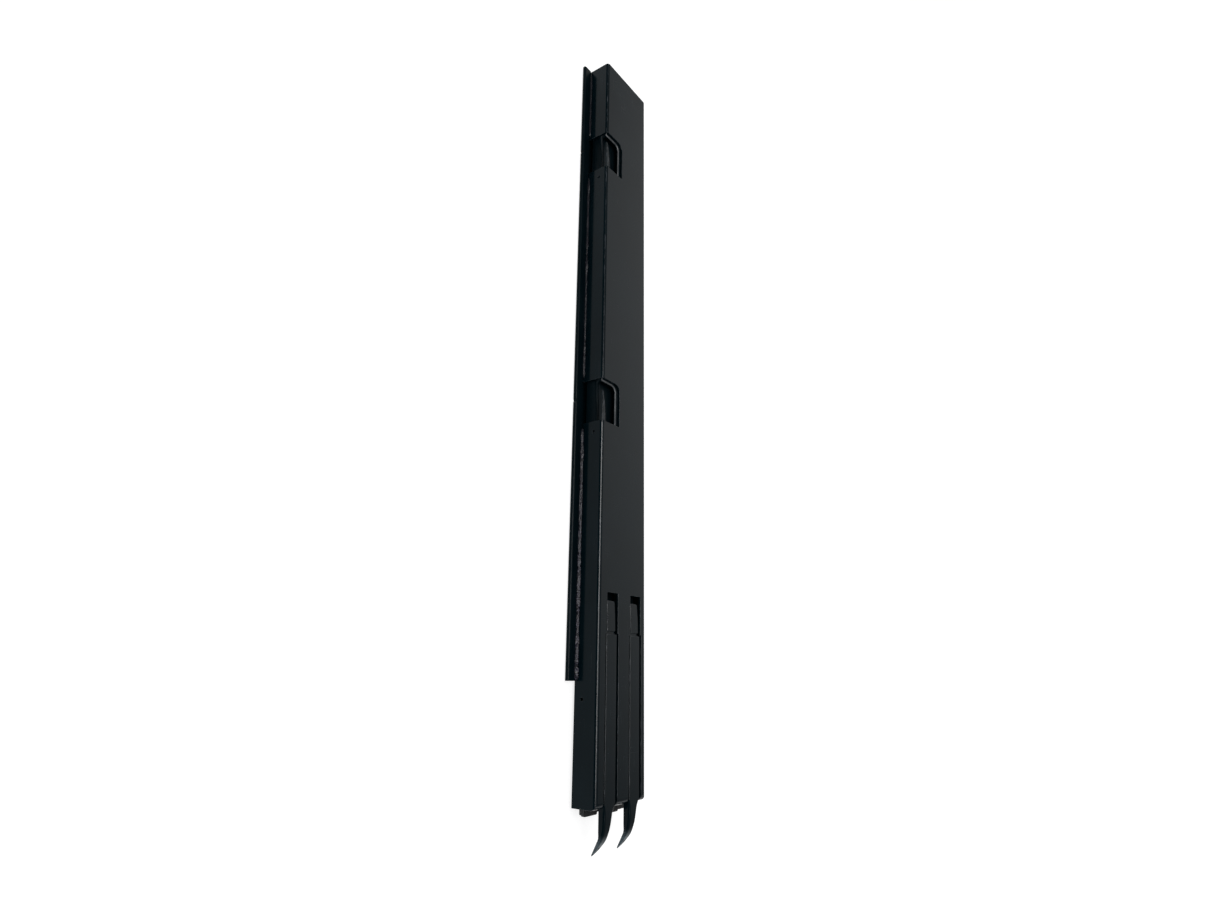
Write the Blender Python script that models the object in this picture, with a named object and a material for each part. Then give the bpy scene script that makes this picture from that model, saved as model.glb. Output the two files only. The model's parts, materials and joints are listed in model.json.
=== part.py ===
"""Three-member telescopic cabinet drawer slide.

Lies on its mounting face: X across, +Y to the rear of the cabinet, +Z away from the
cabinet wall.  The origin is the centre of the mounting face.
"""
import math

import bmesh
import bpy
from mathutils import Matrix, Vector

MM = 0.001

# Driving dimensions (metres)
LENGTH = 508 * MM            # drawer member, nominal 20 inch
SETBACK = 66 * MM            # from the drawer member's front end to the mounting plate
HALF_WIDTH = 25 * MM         # drawer channel
HEIGHT = 18.8 * MM           # mounting face to wide face
FLANGE = 7.5 * MM            # mounting plate beyond each side of the channel
PLATE_T = 1.5 * MM
HEM_T = 2 * PLATE_T          # the plate's long edges are folded over once
SHEET_T = 1.5 * MM
RAIL_T = 1.4 * MM
LIP_T = 1.2 * MM
GAP = 0.3 * MM               # between pieces that touch
CABINET_TRAVEL = 230 * MM    # intermediate rail out of the cabinet rail
DRAWER_TRAVEL = 270 * MM     # drawer rail out of the intermediate rail

PLATE_LENGTH = LENGTH - SETBACK
FRONT_Y = -SETBACK - PLATE_LENGTH / 2

# Leg faces, measured from the middle plane, outermost first
DRAWER_LEG = HALF_WIDTH - SHEET_T - GAP
DRAWER_LEG_IN = DRAWER_LEG - RAIL_T
BALL_R = 1.6 * MM
BALL_ROOM = 2 * (BALL_R + GAP)
MID_LEG = DRAWER_LEG_IN - BALL_ROOM
MID_LEG_IN = MID_LEG - RAIL_T
CABINET_LEG = MID_LEG_IN - BALL_ROOM
CABINET_LEG_IN = CABINET_LEG - RAIL_T

# Heights
CHANNEL_SKIRT_Z = PLATE_T + GAP
NOSE_R = 3.8 * MM            # bend at the channel's closed front end
NOSE_REACH = 2.0 * MM        # the closed front end, ahead of station 0
DRAWER_WEB_Z = HEIGHT - SHEET_T - 0.4 * MM
DRAWER_RAIL_Z = 3.9 * MM
MID_RAIL_Z = 3.3 * MM
MID_WEB_Z = 12.5 * MM
CABINET_RAIL_Z = PLATE_T + GAP
CABINET_TOP_Z = 10.7 * MM

# Bayonet notches, as stations from the front end
NOTCHES = ((225 * MM, 254 * MM), (417 * MM, 446 * MM))
NOTCH_DEPTH = 19 * MM
NOTCH_FLOOR_Z = 12.9 * MM
NOTCH_RIM = (2.3 * MM, 1.3 * MM)   # the rail's web shows this far inside, across and at the rear
HOOK_LENGTH = 20.5 * MM

# Release levers
LEVERS = (("left", -11.05 * MM), ("right", 13.55 * MM))   # middle of each lever's slot
LEVER_HALF = 5.15 * MM
SLOT_HALF = 6.6 * MM
WINDOW_HALF = 5.6 * MM
WINDOW = (93.6 * MM, 117.4 * MM)
PIVOT_AT = 60 * MM
PIVOT_Z = 14.4 * MM
PIN_R = 0.8 * MM
PIN_HOLE_R = 1.1 * MM
EAR_X = 7.5 * MM             # from a lever's middle to the ears that hold its pin

# Ball rows
BALLS_PER_ROW = 7
BALL_PITCH = 20 * MM
CAGE_T = 0.8 * MM
CAGE_MARGIN = 7.5 * MM
OUTER_CAGE_AT = 210 * MM
INNER_CAGE_AT = 216 * MM

RIVETS_AT = (96 * MM, 226 * MM, 356 * MM, 486 * MM)
SCREWS_AT = (116 * MM, 206 * MM, 376 * MM, 466 * MM)
RIVET_R = 1.7 * MM


def station(distance):
    """Y of a point this far behind the drawer member's front end."""
    return FRONT_Y + distance


def material(name, colour, roughness, metallic):
    mat = bpy.data.materials.new(name)
    mat.use_nodes = True
    shader = mat.node_tree.nodes["Principled BSDF"]
    shader.inputs["Base Color"].default_value = (*colour, 1.0)
    shader.inputs["Roughness"].default_value = roughness
    shader.inputs["Metallic"].default_value = metallic
    return mat


def add_object(name, bm, mat):
    bmesh.ops.recalc_face_normals(bm, faces=bm.faces)
    mesh = bpy.data.meshes.new(name)
    bm.to_mesh(mesh)
    bm.free()
    mesh.materials.append(mat)
    obj = bpy.data.objects.new(name, mesh)
    bpy.context.collection.objects.link(obj)
    return obj


def rounded(corners, segments=3):
    """Polygon from (a, b, radius) corners, with an arc at each corner that has a radius."""
    points = []
    count = len(corners)
    for index, (a, b, radius) in enumerate(corners):
        here = Vector((a, b))
        if radius == 0:
            points.append(here)
            continue
        before = Vector(corners[index - 1][:2])
        after = Vector(corners[(index + 1) % count][:2])
        into = (before - here).normalized()
        out = (after - here).normalized()
        half_turn = into.angle(out) / 2
        reach = radius / math.tan(half_turn)
        centre = here + (into + out).normalized() * (radius / math.sin(half_turn))
        start = (here + into * reach - centre).normalized()
        end = (here + out * reach - centre).normalized()
        for step in range(segments + 1):
            points.append(centre + start.slerp(end, step / segments) * radius)
    return points


def mirrored(half):
    """Closed symmetric outline from the corners of its +X half."""
    return half + [(-a, b, radius) for a, b, radius in reversed(half)]


def prism(bm, outline, low, high, place):
    """Extrudes an outline from low to high; place(a, b, h) gives each 3-D point."""
    lower = [bm.verts.new(place(a, b, low)) for a, b in outline]
    upper = [bm.verts.new(place(a, b, high)) for a, b in outline]
    bm.faces.new(lower)
    bm.faces.new(reversed(upper))
    for index in range(len(outline)):
        after = (index + 1) % len(outline)
        bm.faces.new((lower[index], upper[index], upper[after], lower[after]))
    bmesh.ops.recalc_face_normals(bm, faces=bm.faces)


def along_y(a, b, h):
    return (a, h, b)


def along_z(a, b, h):
    return (a, b, h)


def along_x(a, b, h):
    return (h, a, b)


def section_solid(corners, front, rear):
    """A solid with a constant section in XZ, between two stations."""
    bm = bmesh.new()
    prism(bm, rounded(corners), station(front), station(rear), along_y)
    return bm


def add_box(bm, low, high):
    size = [b - a for a, b in zip(low, high)]
    middle = [(a + b) / 2 for a, b in zip(low, high)]
    made = bmesh.ops.create_cube(bm, size=1.0)
    bmesh.ops.scale(bm, vec=size, verts=made["verts"])
    bmesh.ops.translate(bm, vec=middle, verts=made["verts"])


def box(low, high):
    bm = bmesh.new()
    add_box(bm, low, high)
    return bm


def add_cylinder(bm, centre, radius, depth, axis="Z", sides=12, top_radius=None):
    turn = {"Z": Matrix.Identity(4), "X": Matrix.Rotation(math.pi / 2, 4, "Y")}[axis]
    bmesh.ops.create_cone(
        bm, cap_ends=True, segments=sides, radius1=radius,
        radius2=radius if top_radius is None else top_radius,
        depth=depth, matrix=Matrix.Translation(centre) @ turn)


def boolean(obj, other, operation):
    """Cuts or joins another object's shape and keeps the other as a hidden guide."""
    other.hide_render = True
    other.display_type = "WIRE"
    modifier = obj.modifiers.new(other.name, "BOOLEAN")
    modifier.operation = operation
    modifier.solver = "EXACT"
    modifier.object = other


def cut(obj, name, bm):
    cutter = add_object(name, bm, obj.data.materials[0])
    boolean(obj, cutter, "DIFFERENCE")
    return cutter


def smooth(obj, angle=math.radians(35)):
    obj.data.shade_smooth()
    obj.data.set_sharp_from_angle(angle=angle)


def clear_scene():
    for obj in list(bpy.data.objects):
        bpy.data.objects.remove(obj, do_unlink=True)


def mounting_plate(steel):
    """The plate that screws to the cabinet wall, with a folded hem along each side."""
    half = HALF_WIDTH + FLANGE
    hem = HALF_WIDTH + 0.6 * MM
    section = mirrored([(half, 0, 1.4 * MM), (half, HEM_T, 1.4 * MM), (hem, HEM_T, 0),
                        (hem, PLATE_T, 0)])
    plate = add_object("cabinet_mounting_plate", section_solid(section, SETBACK, LENGTH), steel)
    holes = bmesh.new()
    for at in RIVETS_AT:
        add_cylinder(holes, (0, station(at), PLATE_T / 2), RIVET_R + GAP, 4 * PLATE_T)
    for at in SCREWS_AT:
        add_cylinder(holes, (0, station(at), PLATE_T / 2), 2.6 * MM, 4 * PLATE_T)
    for low, high in NOTCHES:
        for side in (-1, 1):
            add_cylinder(holes, (side * half, station((low + high) / 2), PLATE_T),
                         1.2 * MM, 4 * PLATE_T, sides=8)
    cut(plate, "cut_plate_holes", holes)


def cabinet_rail(steel):
    """U-shaped rail with outward lips over its ball rows, on the mounting plate."""
    lip = CABINET_LEG + 2.1 * MM
    web_top = CABINET_RAIL_Z + RAIL_T
    half = [(CABINET_LEG, CABINET_RAIL_Z, 0.8 * MM),
            (CABINET_LEG, CABINET_TOP_Z - LIP_T, 0),
            (lip, CABINET_TOP_Z - LIP_T, 0),
            (lip, CABINET_TOP_Z, 0),
            (CABINET_LEG_IN, CABINET_TOP_Z, 0.6 * MM),
            (CABINET_LEG_IN, web_top, 0)]
    rail = add_object("cabinet_rail", section_solid(mirrored(half), SETBACK + 0.5 * MM, LENGTH),
                      steel)
    holes = bmesh.new()
    for at in RIVETS_AT:
        add_cylinder(holes, (0, station(at), web_top), RIVET_R + GAP, 6 * MM)
    for at in SCREWS_AT:
        add_cylinder(holes, (0, station(at), web_top), 4.5 * MM, 6 * MM)
    cut(rail, "cut_cabinet_rail_holes", holes)


def cabinet_rivets(steel):
    head_base = CABINET_RAIL_Z + RAIL_T + GAP
    profile = [(0, 0.1 * MM), (RIVET_R, 0.1 * MM), (RIVET_R, head_base), (3 * MM, head_base),
               (2.4 * MM, head_base + 0.8 * MM), (0, head_base + 1.1 * MM)]
    for number, at in enumerate(RIVETS_AT, start=1):
        bm = bmesh.new()
        turned(bm, profile, (0, station(at), 0))
        smooth(add_object(f"cabinet_rivet_{number}", bm, steel))


def turned(bm, profile, at, sides=12):
    """Solid of revolution about Z from (radius, z) points that start and end on the axis."""
    rings = []
    for radius, z in profile:
        if radius == 0:
            rings.append([bm.verts.new((at[0], at[1], at[2] + z))])
            continue
        ring = []
        for side in range(sides):
            turn = 2 * math.pi * side / sides
            ring.append(bm.verts.new((at[0] + radius * math.cos(turn),
                                      at[1] + radius * math.sin(turn), at[2] + z)))
        rings.append(ring)
    for below, above in zip(rings, rings[1:]):
        for side in range(sides):
            after = (side + 1) % sides
            if len(below) == 1:
                bm.faces.new((below[0], above[side], above[after]))
            elif len(above) == 1:
                bm.faces.new((below[side], below[after], above[0]))
            else:
                bm.faces.new((below[side], below[after], above[after], above[side]))


def intermediate_rail(steel):
    """Middle rail: its web overhangs the outer ball rows and its lips carry the inner ones."""
    overhang = MID_LEG + 2.6 * MM
    web_low = MID_WEB_Z - RAIL_T
    lip = MID_LEG_IN - 1.8 * MM
    half = [(overhang, MID_WEB_Z, 0.4 * MM),
            (overhang, web_low, 0),
            (MID_LEG, web_low, 0),
            (MID_LEG, MID_RAIL_Z, 0.6 * MM),
            (lip, MID_RAIL_Z, 0),
            (lip, MID_RAIL_Z + 1.0 * MM, 0),
            (MID_LEG_IN, MID_RAIL_Z + 1.0 * MM, 0),
            (MID_LEG_IN, web_low, 0)]
    add_object("intermediate_rail", section_solid(mirrored(half), 0, LENGTH - 8 * MM), steel)


def drawer_rail(steel):
    """Inner rail of the drawer member, welded under the channel's web."""
    lip = DRAWER_LEG_IN - 2.4 * MM
    half = [(DRAWER_LEG, DRAWER_WEB_Z, 1.0 * MM),
            (DRAWER_LEG, DRAWER_RAIL_Z, 0.6 * MM),
            (lip, DRAWER_RAIL_Z, 0),
            (lip, DRAWER_RAIL_Z + LIP_T, 0),
            (DRAWER_LEG_IN, DRAWER_RAIL_Z + LIP_T, 0),
            (DRAWER_LEG_IN, DRAWER_WEB_Z - RAIL_T, 0)]
    rail = add_object("drawer_rail", section_solid(mirrored(half), 0.8 * MM, LENGTH), steel)
    ears = bmesh.new()
    for _, middle in LEVERS:
        for edge in (-1, 1):
            ear_x = middle + edge * EAR_X
            add_box(ears, (ear_x - 0.5 * MM, station(PIVOT_AT - 3 * MM), PIVOT_Z - 1.5 * MM),
                    (ear_x + 0.5 * MM, station(PIVOT_AT + 3 * MM), DRAWER_WEB_Z - 0.5 * MM))
    boolean(rail, add_object("join_lever_ears", ears, steel), "UNION")
    seats = bmesh.new()
    for _, middle in LEVERS:
        add_cylinder(seats, (middle, station(PIVOT_AT), PIVOT_Z), PIN_HOLE_R,
                     2 * EAR_X + 1.2 * MM, axis="X")
    cut(rail, "cut_pin_seats", seats)
    openings = bmesh.new()
    for _, middle in LEVERS:
        add_box(openings,
                (middle - SLOT_HALF - GAP, station(-5 * MM), MID_WEB_Z),
                (middle + SLOT_HALF + GAP, station(WINDOW[1] + 2 * MM), HEIGHT))
    for low, high in NOTCHES:
        add_box(openings, (-HALF_WIDTH - 5 * MM, station(low), NOTCH_FLOOR_Z),
                (-HALF_WIDTH + NOTCH_DEPTH - NOTCH_RIM[0], station(high - NOTCH_RIM[1]), HEIGHT))
    cut(rail, "cut_drawer_rail", openings)


def channel_blank(name, half_width, top, front, corner, nose, skirt, rear, steel):
    """Solid block with rounded long corners and a rounded front top edge."""
    bm = section_solid(mirrored([(half_width, top, corner), (half_width, skirt, 0)]), front, rear)
    blank = add_object(name, bm, steel)
    margin = 1 * MM
    start = station(front)
    outside = [Vector((start - margin, top + margin)), Vector((start - margin, top - nose))]
    steps = 5
    for step in range(steps + 1):
        turn = math.pi / 2 * step / steps
        outside.append(Vector((start + nose - nose * math.cos(turn),
                               top - nose + nose * math.sin(turn))))
    outside.append(Vector((start + nose, top + margin)))
    trim = bmesh.new()
    prism(trim, outside, -half_width - margin, half_width + margin, along_x)
    cut(blank, f"trim_{name}", trim)
    return blank


def notch_cutter(index, low, high, steel):
    """Cuts one bayonet notch but leaves its pointed hook standing at the corner."""
    bm = bmesh.new()
    corner = 5 * MM
    inner = -HALF_WIDTH + NOTCH_DEPTH
    outline = rounded([(-HALF_WIDTH - 5 * MM, station(low), 0), (inner, station(low), 0),
                       (inner, station(high), corner), (-HALF_WIDTH - 5 * MM, station(high), 0)])
    prism(bm, outline, -2 * MM, HEIGHT + 5 * MM, along_z)
    cutter = add_object(f"cut_notch_{index}", bm, steel)
    tip = Vector((-HALF_WIDTH + 0.7 * MM, station(low) + HOOK_LENGTH, HEIGHT - 2.0 * MM))
    outer = HALF_WIDTH + 0.5 * MM
    base = [(-outer, HEIGHT - 2.4 * MM), (-outer, HEIGHT + 0.5 * MM),
            (-HALF_WIDTH + 2.8 * MM, HEIGHT + 0.5 * MM), (-HALF_WIDTH + 2.8 * MM, HEIGHT - 2.4 * MM)]
    hook = bmesh.new()
    root = station(low) - 1 * MM
    ring = [hook.verts.new((x, root, z)) for x, z in base]
    point = hook.verts.new(tip)
    hook.faces.new(ring)
    for side in range(4):
        hook.faces.new((ring[side], ring[(side + 1) % 4], point))
    keep = add_object(f"keep_hook_{index}", hook, steel)
    boolean(cutter, keep, "DIFFERENCE")
    return cutter


def drawer_channel(steel):
    """The wide box-shaped cover with lever slots, windows and two bayonet notches."""
    front = -NOSE_REACH
    channel = channel_blank("drawer_channel", HALF_WIDTH, HEIGHT, front, 1.5 * MM, NOSE_R,
                            CHANNEL_SKIRT_Z, LENGTH, steel)
    hollow = channel_blank("cut_channel_hollow", HALF_WIDTH - SHEET_T, HEIGHT - SHEET_T,
                           front + SHEET_T, 0.3 * MM, NOSE_R - SHEET_T, CHANNEL_SKIRT_Z - 5 * MM,
                           LENGTH + 5 * MM, steel)
    boolean(channel, hollow, "DIFFERENCE")
    openings = bmesh.new()
    inner = HALF_WIDTH - SHEET_T
    add_box(openings, (-inner, station(-5 * MM), 0), (inner, station(SHEET_T), 13.6 * MM))
    cut(channel, "cut_channel_end", openings)
    slots = bmesh.new()
    windows = bmesh.new()
    for _, middle in LEVERS:
        add_box(slots, (middle - SLOT_HALF, station(-5 * MM), 11.5 * MM),
                (middle + SLOT_HALF, station(WINDOW[0]), HEIGHT + 5 * MM))
        add_box(windows, (middle - WINDOW_HALF, station(WINDOW[0] - 1 * MM), 11.5 * MM),
                (middle + WINDOW_HALF, station(WINDOW[1]), HEIGHT + 5 * MM))
    cut(channel, "cut_lever_slots", slots)
    cut(channel, "cut_lever_windows", windows)
    for index, (low, high) in enumerate(NOTCHES, start=1):
        cutter = notch_cutter(index, low, high, steel)
        boolean(channel, cutter, "DIFFERENCE")
    holes = bmesh.new()
    for low, _ in NOTCHES:
        add_cylinder(holes, (-HALF_WIDTH, station(low - 7 * MM), 12 * MM), 1.0 * MM, 2 * MM,
                     axis="X", sides=8)
    add_cylinder(holes, (-HALF_WIDTH, station(56 * MM), 7.5 * MM), 1.0 * MM, 6 * MM, axis="X",
                 sides=8)
    cut(channel, "cut_channel_side_holes", holes)


def release_lever(name, middle, steel):
    """Long flush strip with a sunk latch tab at the rear and a curved finger at the front."""
    # Each section: top station and height, bottom station and height, left and right edge
    half = LEVER_HALF / MM
    top = HEIGHT / MM - 0.3
    low = 16.3
    sections = (
        (112.7, 17.2, 112.7, 15.0, -3.6, 4.5),
        (111.7, 17.4, 111.7, 12.9, -3.6, 4.5),
        (105.7, 17.6, 105.7, 12.9, -3.6, 4.5),
        (104.9, 17.7, 104.9, 15.6, -3.6, 4.5),
        (94.8, 17.9, 94.8, low, -3.6, 4.5),
        (94.6, 17.2, 94.6, low, -3.6, 4.5),
        (93.0, 17.2, 93.0, low, -half, half),
        (92.8, top, 92.8, low, -half, half),
        (0.2, top, 0.2, low, -half, half),
        (-0.6, top, -0.6, 14.3, -half, 4.7),
        (-3.4, top, -3.4, 14.2, -half, 3.6),
        (-9.6, 18.4, -9.6, 14.2, -half, 2.2),
        (-13.8, 17.9, -13.2, 14.2, -half, 1.3),
        (-18.2, 16.4, -17.0, 14.2, -half, 0.2),
        (-21.2, 14.2, -19.9, 12.8, -5.05, -0.6),
        (-24.2, 11.8, -23.2, 10.9, -4.8, -2.1),
        (-26.6, 9.5, -26.0, 9.2, -4.5, -4.0),
    )
    bm = bmesh.new()
    rings = []
    for top_at, top_z, low_at, low_z, left, right in sections:
        corners = ((left, low_at, low_z), (right, low_at, low_z),
                   (right, top_at, top_z), (left, top_at, top_z))
        rings.append([bm.verts.new((middle + x * MM, station(at * MM), z * MM))
                      for x, at, z in corners])
    bm.faces.new(rings[0])
    bm.faces.new(reversed(rings[-1]))
    for rear, front in zip(rings, rings[1:]):
        for corner in range(4):
            after = (corner + 1) % 4
            bm.faces.new((rear[corner], rear[after], front[after], front[corner]))
    lever = add_object(name, bm, steel)
    knuckle = bmesh.new()
    knuckle_half = 3 * MM
    add_box(knuckle,
            (middle - knuckle_half, station(PIVOT_AT - 2.4 * MM), PIVOT_Z - 1.5 * MM),
            (middle + knuckle_half, station(PIVOT_AT + 2.4 * MM), 17 * MM))
    boolean(lever, add_object(f"join_{name}_knuckle", knuckle, steel), "UNION")
    bore = bmesh.new()
    add_cylinder(bore, (middle, station(PIVOT_AT), PIVOT_Z), PIN_HOLE_R, 12 * MM, axis="X",
                 sides=12)
    cut(lever, f"cut_{name}_bore", bore)


def lever_pivots(steel):
    for word, middle in LEVERS:
        pin = bmesh.new()
        add_cylinder(pin, (middle, station(PIVOT_AT), PIVOT_Z), PIN_R, 15.6 * MM,
                     axis="X", sides=10)
        smooth(add_object(f"lever_pivot_pin_{word}", pin, steel))


def lever_spring(name, middle, steel):
    """Torsion spring round the pivot pin, with one leg under the lever."""
    wire_r = 0.2 * MM
    coil_r = 1.15 * MM
    turns = 4
    steps = 9
    sides = 5
    x_start = middle + 3.5 * MM
    pitch = 0.55 * MM
    path = []
    for step in range(turns * steps + 1):
        turn = 2 * math.pi * step / steps
        path.append(Vector((x_start + pitch * step / steps,
                            station(PIVOT_AT) + coil_r * math.cos(turn),
                            PIVOT_Z + coil_r * math.sin(turn))))
    path.append(path[-1] + Vector((0, 0.2 * MM, 1.0 * MM)))
    path.append(path[-1] + Vector((0, 8 * MM, 0.1 * MM)))
    bm = bmesh.new()
    rings = []
    for index, point in enumerate(path):
        ahead = path[min(index + 1, len(path) - 1)]
        behind = path[max(index - 1, 0)]
        forward = (ahead - behind).normalized()
        across = forward.cross(Vector((1, 0, 0))).normalized()
        up = across.cross(forward)
        ring = []
        for side_index in range(sides):
            turn = 2 * math.pi * side_index / sides
            ring.append(bm.verts.new(point + (across * math.cos(turn) + up * math.sin(turn))
                                     * wire_r))
        rings.append(ring)
    bm.faces.new(rings[0])
    bm.faces.new(reversed(rings[-1]))
    for back, front in zip(rings, rings[1:]):
        for corner in range(sides):
            after = (corner + 1) % sides
            bm.faces.new((back[corner], back[after], front[after], front[corner]))
    smooth(add_object(name, bm, steel))


def ball_row(prefix, centre_x, centre_z, first_at, cage_low, cage_high, side, steel, cage_mat):
    """One cage strip with a pocket for each ball, and the balls."""
    word = "left" if side < 0 else "right"
    x = side * centre_x
    length = (BALLS_PER_ROW - 1) * BALL_PITCH
    strip = box((x - CAGE_T / 2, station(first_at - CAGE_MARGIN), cage_low),
                (x + CAGE_T / 2, station(first_at + length + CAGE_MARGIN), cage_high))
    cage = add_object(f"{prefix}_ball_cage_{word}", strip, cage_mat)
    pockets = bmesh.new()
    for index in range(BALLS_PER_ROW):
        centre = (x, station(first_at + index * BALL_PITCH), centre_z)
        add_cylinder(pockets, centre, BALL_R + GAP, 6 * CAGE_T, axis="X", sides=8)
        sphere = bmesh.new()
        bmesh.ops.create_icosphere(sphere, subdivisions=2, radius=BALL_R,
                                   matrix=Matrix.Translation(centre))
        ball = add_object(f"{prefix}_ball_{word}_{index + 1}", sphere, steel)
        ball.data.shade_smooth()
    cut(cage, f"cut_{prefix}_pockets_{word}", pockets)


def front_bumper(rubber):
    """Moulded stop on the front end of the intermediate rail, with three pads."""
    bar = DRAWER_LEG_IN - 0.6 * MM
    plug = MID_LEG_IN - GAP
    pad = 8.4 * MM
    front, bar_front, face, back = [station(at * MM) for at in (-6.6, -3.0, -0.4, 12.0)]
    half = [(pad, bar_front, 0), (pad, front, 0.6 * MM), (bar, front, 1.6 * MM), (bar, face, 0),
            (plug, face, 0), (plug, back, 0)]
    bm = bmesh.new()
    prism(bm, rounded(mirrored(half)), 5.4 * MM, 7.8 * MM, along_z)
    bumper = add_object("intermediate_front_bumper", bm, rubber)
    pads = bmesh.new()
    add_box(pads, (-5.5 * MM, station(-6.3 * MM), 6 * MM), (6.5 * MM, station(-1 * MM), 11.8 * MM))
    for side in (-1, 1):
        inner, outer = sorted((side * 8.8 * MM, side * 19 * MM))
        add_box(pads, (inner, station(-6.3 * MM), 3.7 * MM), (outer, station(-1 * MM), 6 * MM))
    boolean(bumper, add_object("join_bumper_pads", pads, rubber), "UNION")


def stops(steel, rubber):
    """Blocks that end each stage's travel, and the closed-position bumper."""
    inside = CABINET_LEG_IN - 0.5 * MM
    floor = CABINET_RAIL_Z + RAIL_T + GAP
    web_low = MID_WEB_Z - RAIL_T
    add_object("cabinet_rear_bumper",
               box((-inside, station(LENGTH - 7.6 * MM), floor),
                   (inside, station(LENGTH - 0.4 * MM), 14.9 * MM)), rubber)
    front_stop = SETBACK + 1 * MM
    thick = 7 * MM
    add_object("cabinet_front_stop",
               box((-inside, station(front_stop), floor),
                   (inside, station(front_stop + thick), floor + 2.8 * MM)), steel)
    meets = front_stop + thick + CABINET_TRAVEL + GAP
    add_object("intermediate_stop",
               box((-inside, station(meets), floor + 0.8 * MM),
                   (inside, station(meets + thick), web_low - GAP)), steel)
    narrow = 4 * MM
    catch = 20 * MM
    add_object("intermediate_front_stop",
               box((-narrow, station(catch), MID_WEB_Z + GAP),
                   (narrow, station(catch + thick), DRAWER_WEB_Z - RAIL_T - 0.6 * MM)), steel)
    meets = catch + thick + DRAWER_TRAVEL + GAP
    add_object("drawer_stop",
               box((-narrow, station(meets), MID_WEB_Z + 0.6 * MM),
                   (narrow, station(meets + thick), DRAWER_WEB_Z - RAIL_T - GAP)), steel)


def main():
    clear_scene()
    black = material("black_coated_steel", (0.018, 0.021, 0.024), 0.36, 0.0)
    zinc = material("zinc_steel", (0.34, 0.35, 0.37), 0.34, 1.0)
    polished = material("bearing_steel", (0.62, 0.63, 0.65), 0.14, 1.0)
    nylon = material("black_nylon", (0.02, 0.02, 0.022), 0.5, 0.0)
    rubber = material("black_rubber", (0.016, 0.017, 0.018), 0.6, 0.0)
    mounting_plate(black)
    cabinet_rail(black)
    cabinet_rivets(zinc)
    intermediate_rail(black)
    front_bumper(rubber)
    drawer_rail(black)
    drawer_channel(black)
    for word, middle in LEVERS:
        release_lever(f"release_lever_{word}", middle, black)
        lever_spring(f"lever_spring_{word}", middle, zinc)
    lever_pivots(zinc)
    for side in (-1, 1):
        outer_x = (DRAWER_LEG_IN + MID_LEG) / 2
        inner_x = (MID_LEG_IN + CABINET_LEG) / 2
        ball_row("outer", outer_x, 8.1 * MM, OUTER_CAGE_AT, 5.4 * MM, 10.8 * MM, side, polished,
                 nylon)
        ball_row("inner", inner_x, 6.9 * MM, INNER_CAGE_AT, 4.6 * MM, 9.2 * MM, side, polished,
                 nylon)
    stops(zinc, rubber)


main()
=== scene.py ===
"""Looks of the telescopic drawer slide: finished sheet-metal pieces, their materials and a pale studio.

Shapes are built in millimetres as (x, station, z), where the station runs rearward from the drawer
member's front end, and are then put into the frame.
"""
import json
import math

import bmesh
import bpy
from mathutils import Matrix, Vector, noise


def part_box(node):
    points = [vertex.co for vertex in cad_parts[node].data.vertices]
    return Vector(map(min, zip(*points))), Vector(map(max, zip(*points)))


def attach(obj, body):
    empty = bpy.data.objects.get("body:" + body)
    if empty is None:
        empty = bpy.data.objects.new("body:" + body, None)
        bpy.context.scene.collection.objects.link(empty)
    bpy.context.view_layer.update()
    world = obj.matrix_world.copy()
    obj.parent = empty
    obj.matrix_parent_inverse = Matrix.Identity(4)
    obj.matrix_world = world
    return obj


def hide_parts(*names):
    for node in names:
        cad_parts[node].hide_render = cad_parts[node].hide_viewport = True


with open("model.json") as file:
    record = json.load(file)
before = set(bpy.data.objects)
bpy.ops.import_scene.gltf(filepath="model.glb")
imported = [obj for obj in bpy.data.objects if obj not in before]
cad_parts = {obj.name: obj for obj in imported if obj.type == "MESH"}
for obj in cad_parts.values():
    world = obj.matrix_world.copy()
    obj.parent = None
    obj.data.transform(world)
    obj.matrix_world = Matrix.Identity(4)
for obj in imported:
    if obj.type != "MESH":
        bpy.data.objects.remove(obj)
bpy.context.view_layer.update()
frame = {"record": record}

MM = 0.001

# Sizes that the frame gives, in millimetres
NOSE_REACH = 2.0                     # the channel's closed front end, ahead of station 0
CHANNEL_LOW, CHANNEL_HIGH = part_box("drawer_channel")
PLATE_LOW, PLATE_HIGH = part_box("cabinet_mounting_plate")
RAIL_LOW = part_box("drawer_rail")[0]
FRONT_Y = CHANNEL_LOW.y + NOSE_REACH * MM
LENGTH = (CHANNEL_HIGH.y - FRONT_Y) / MM
HALF_WIDTH = CHANNEL_HIGH.x / MM
TOP = CHANNEL_HIGH.z / MM
PLATE_HALF = PLATE_HIGH.x / MM
HEM_TOP = PLATE_HIGH.z / MM
SETBACK = (PLATE_LOW.y - FRONT_Y) / MM
TO_FRAME = Matrix.Translation((0, FRONT_Y, 0)) @ Matrix.Scale(MM, 4)
BODIES = frame["record"]["behaviour"]["bodies"]
BODY_OF = {node: body for body, nodes in BODIES.items() for node in nodes}

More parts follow.
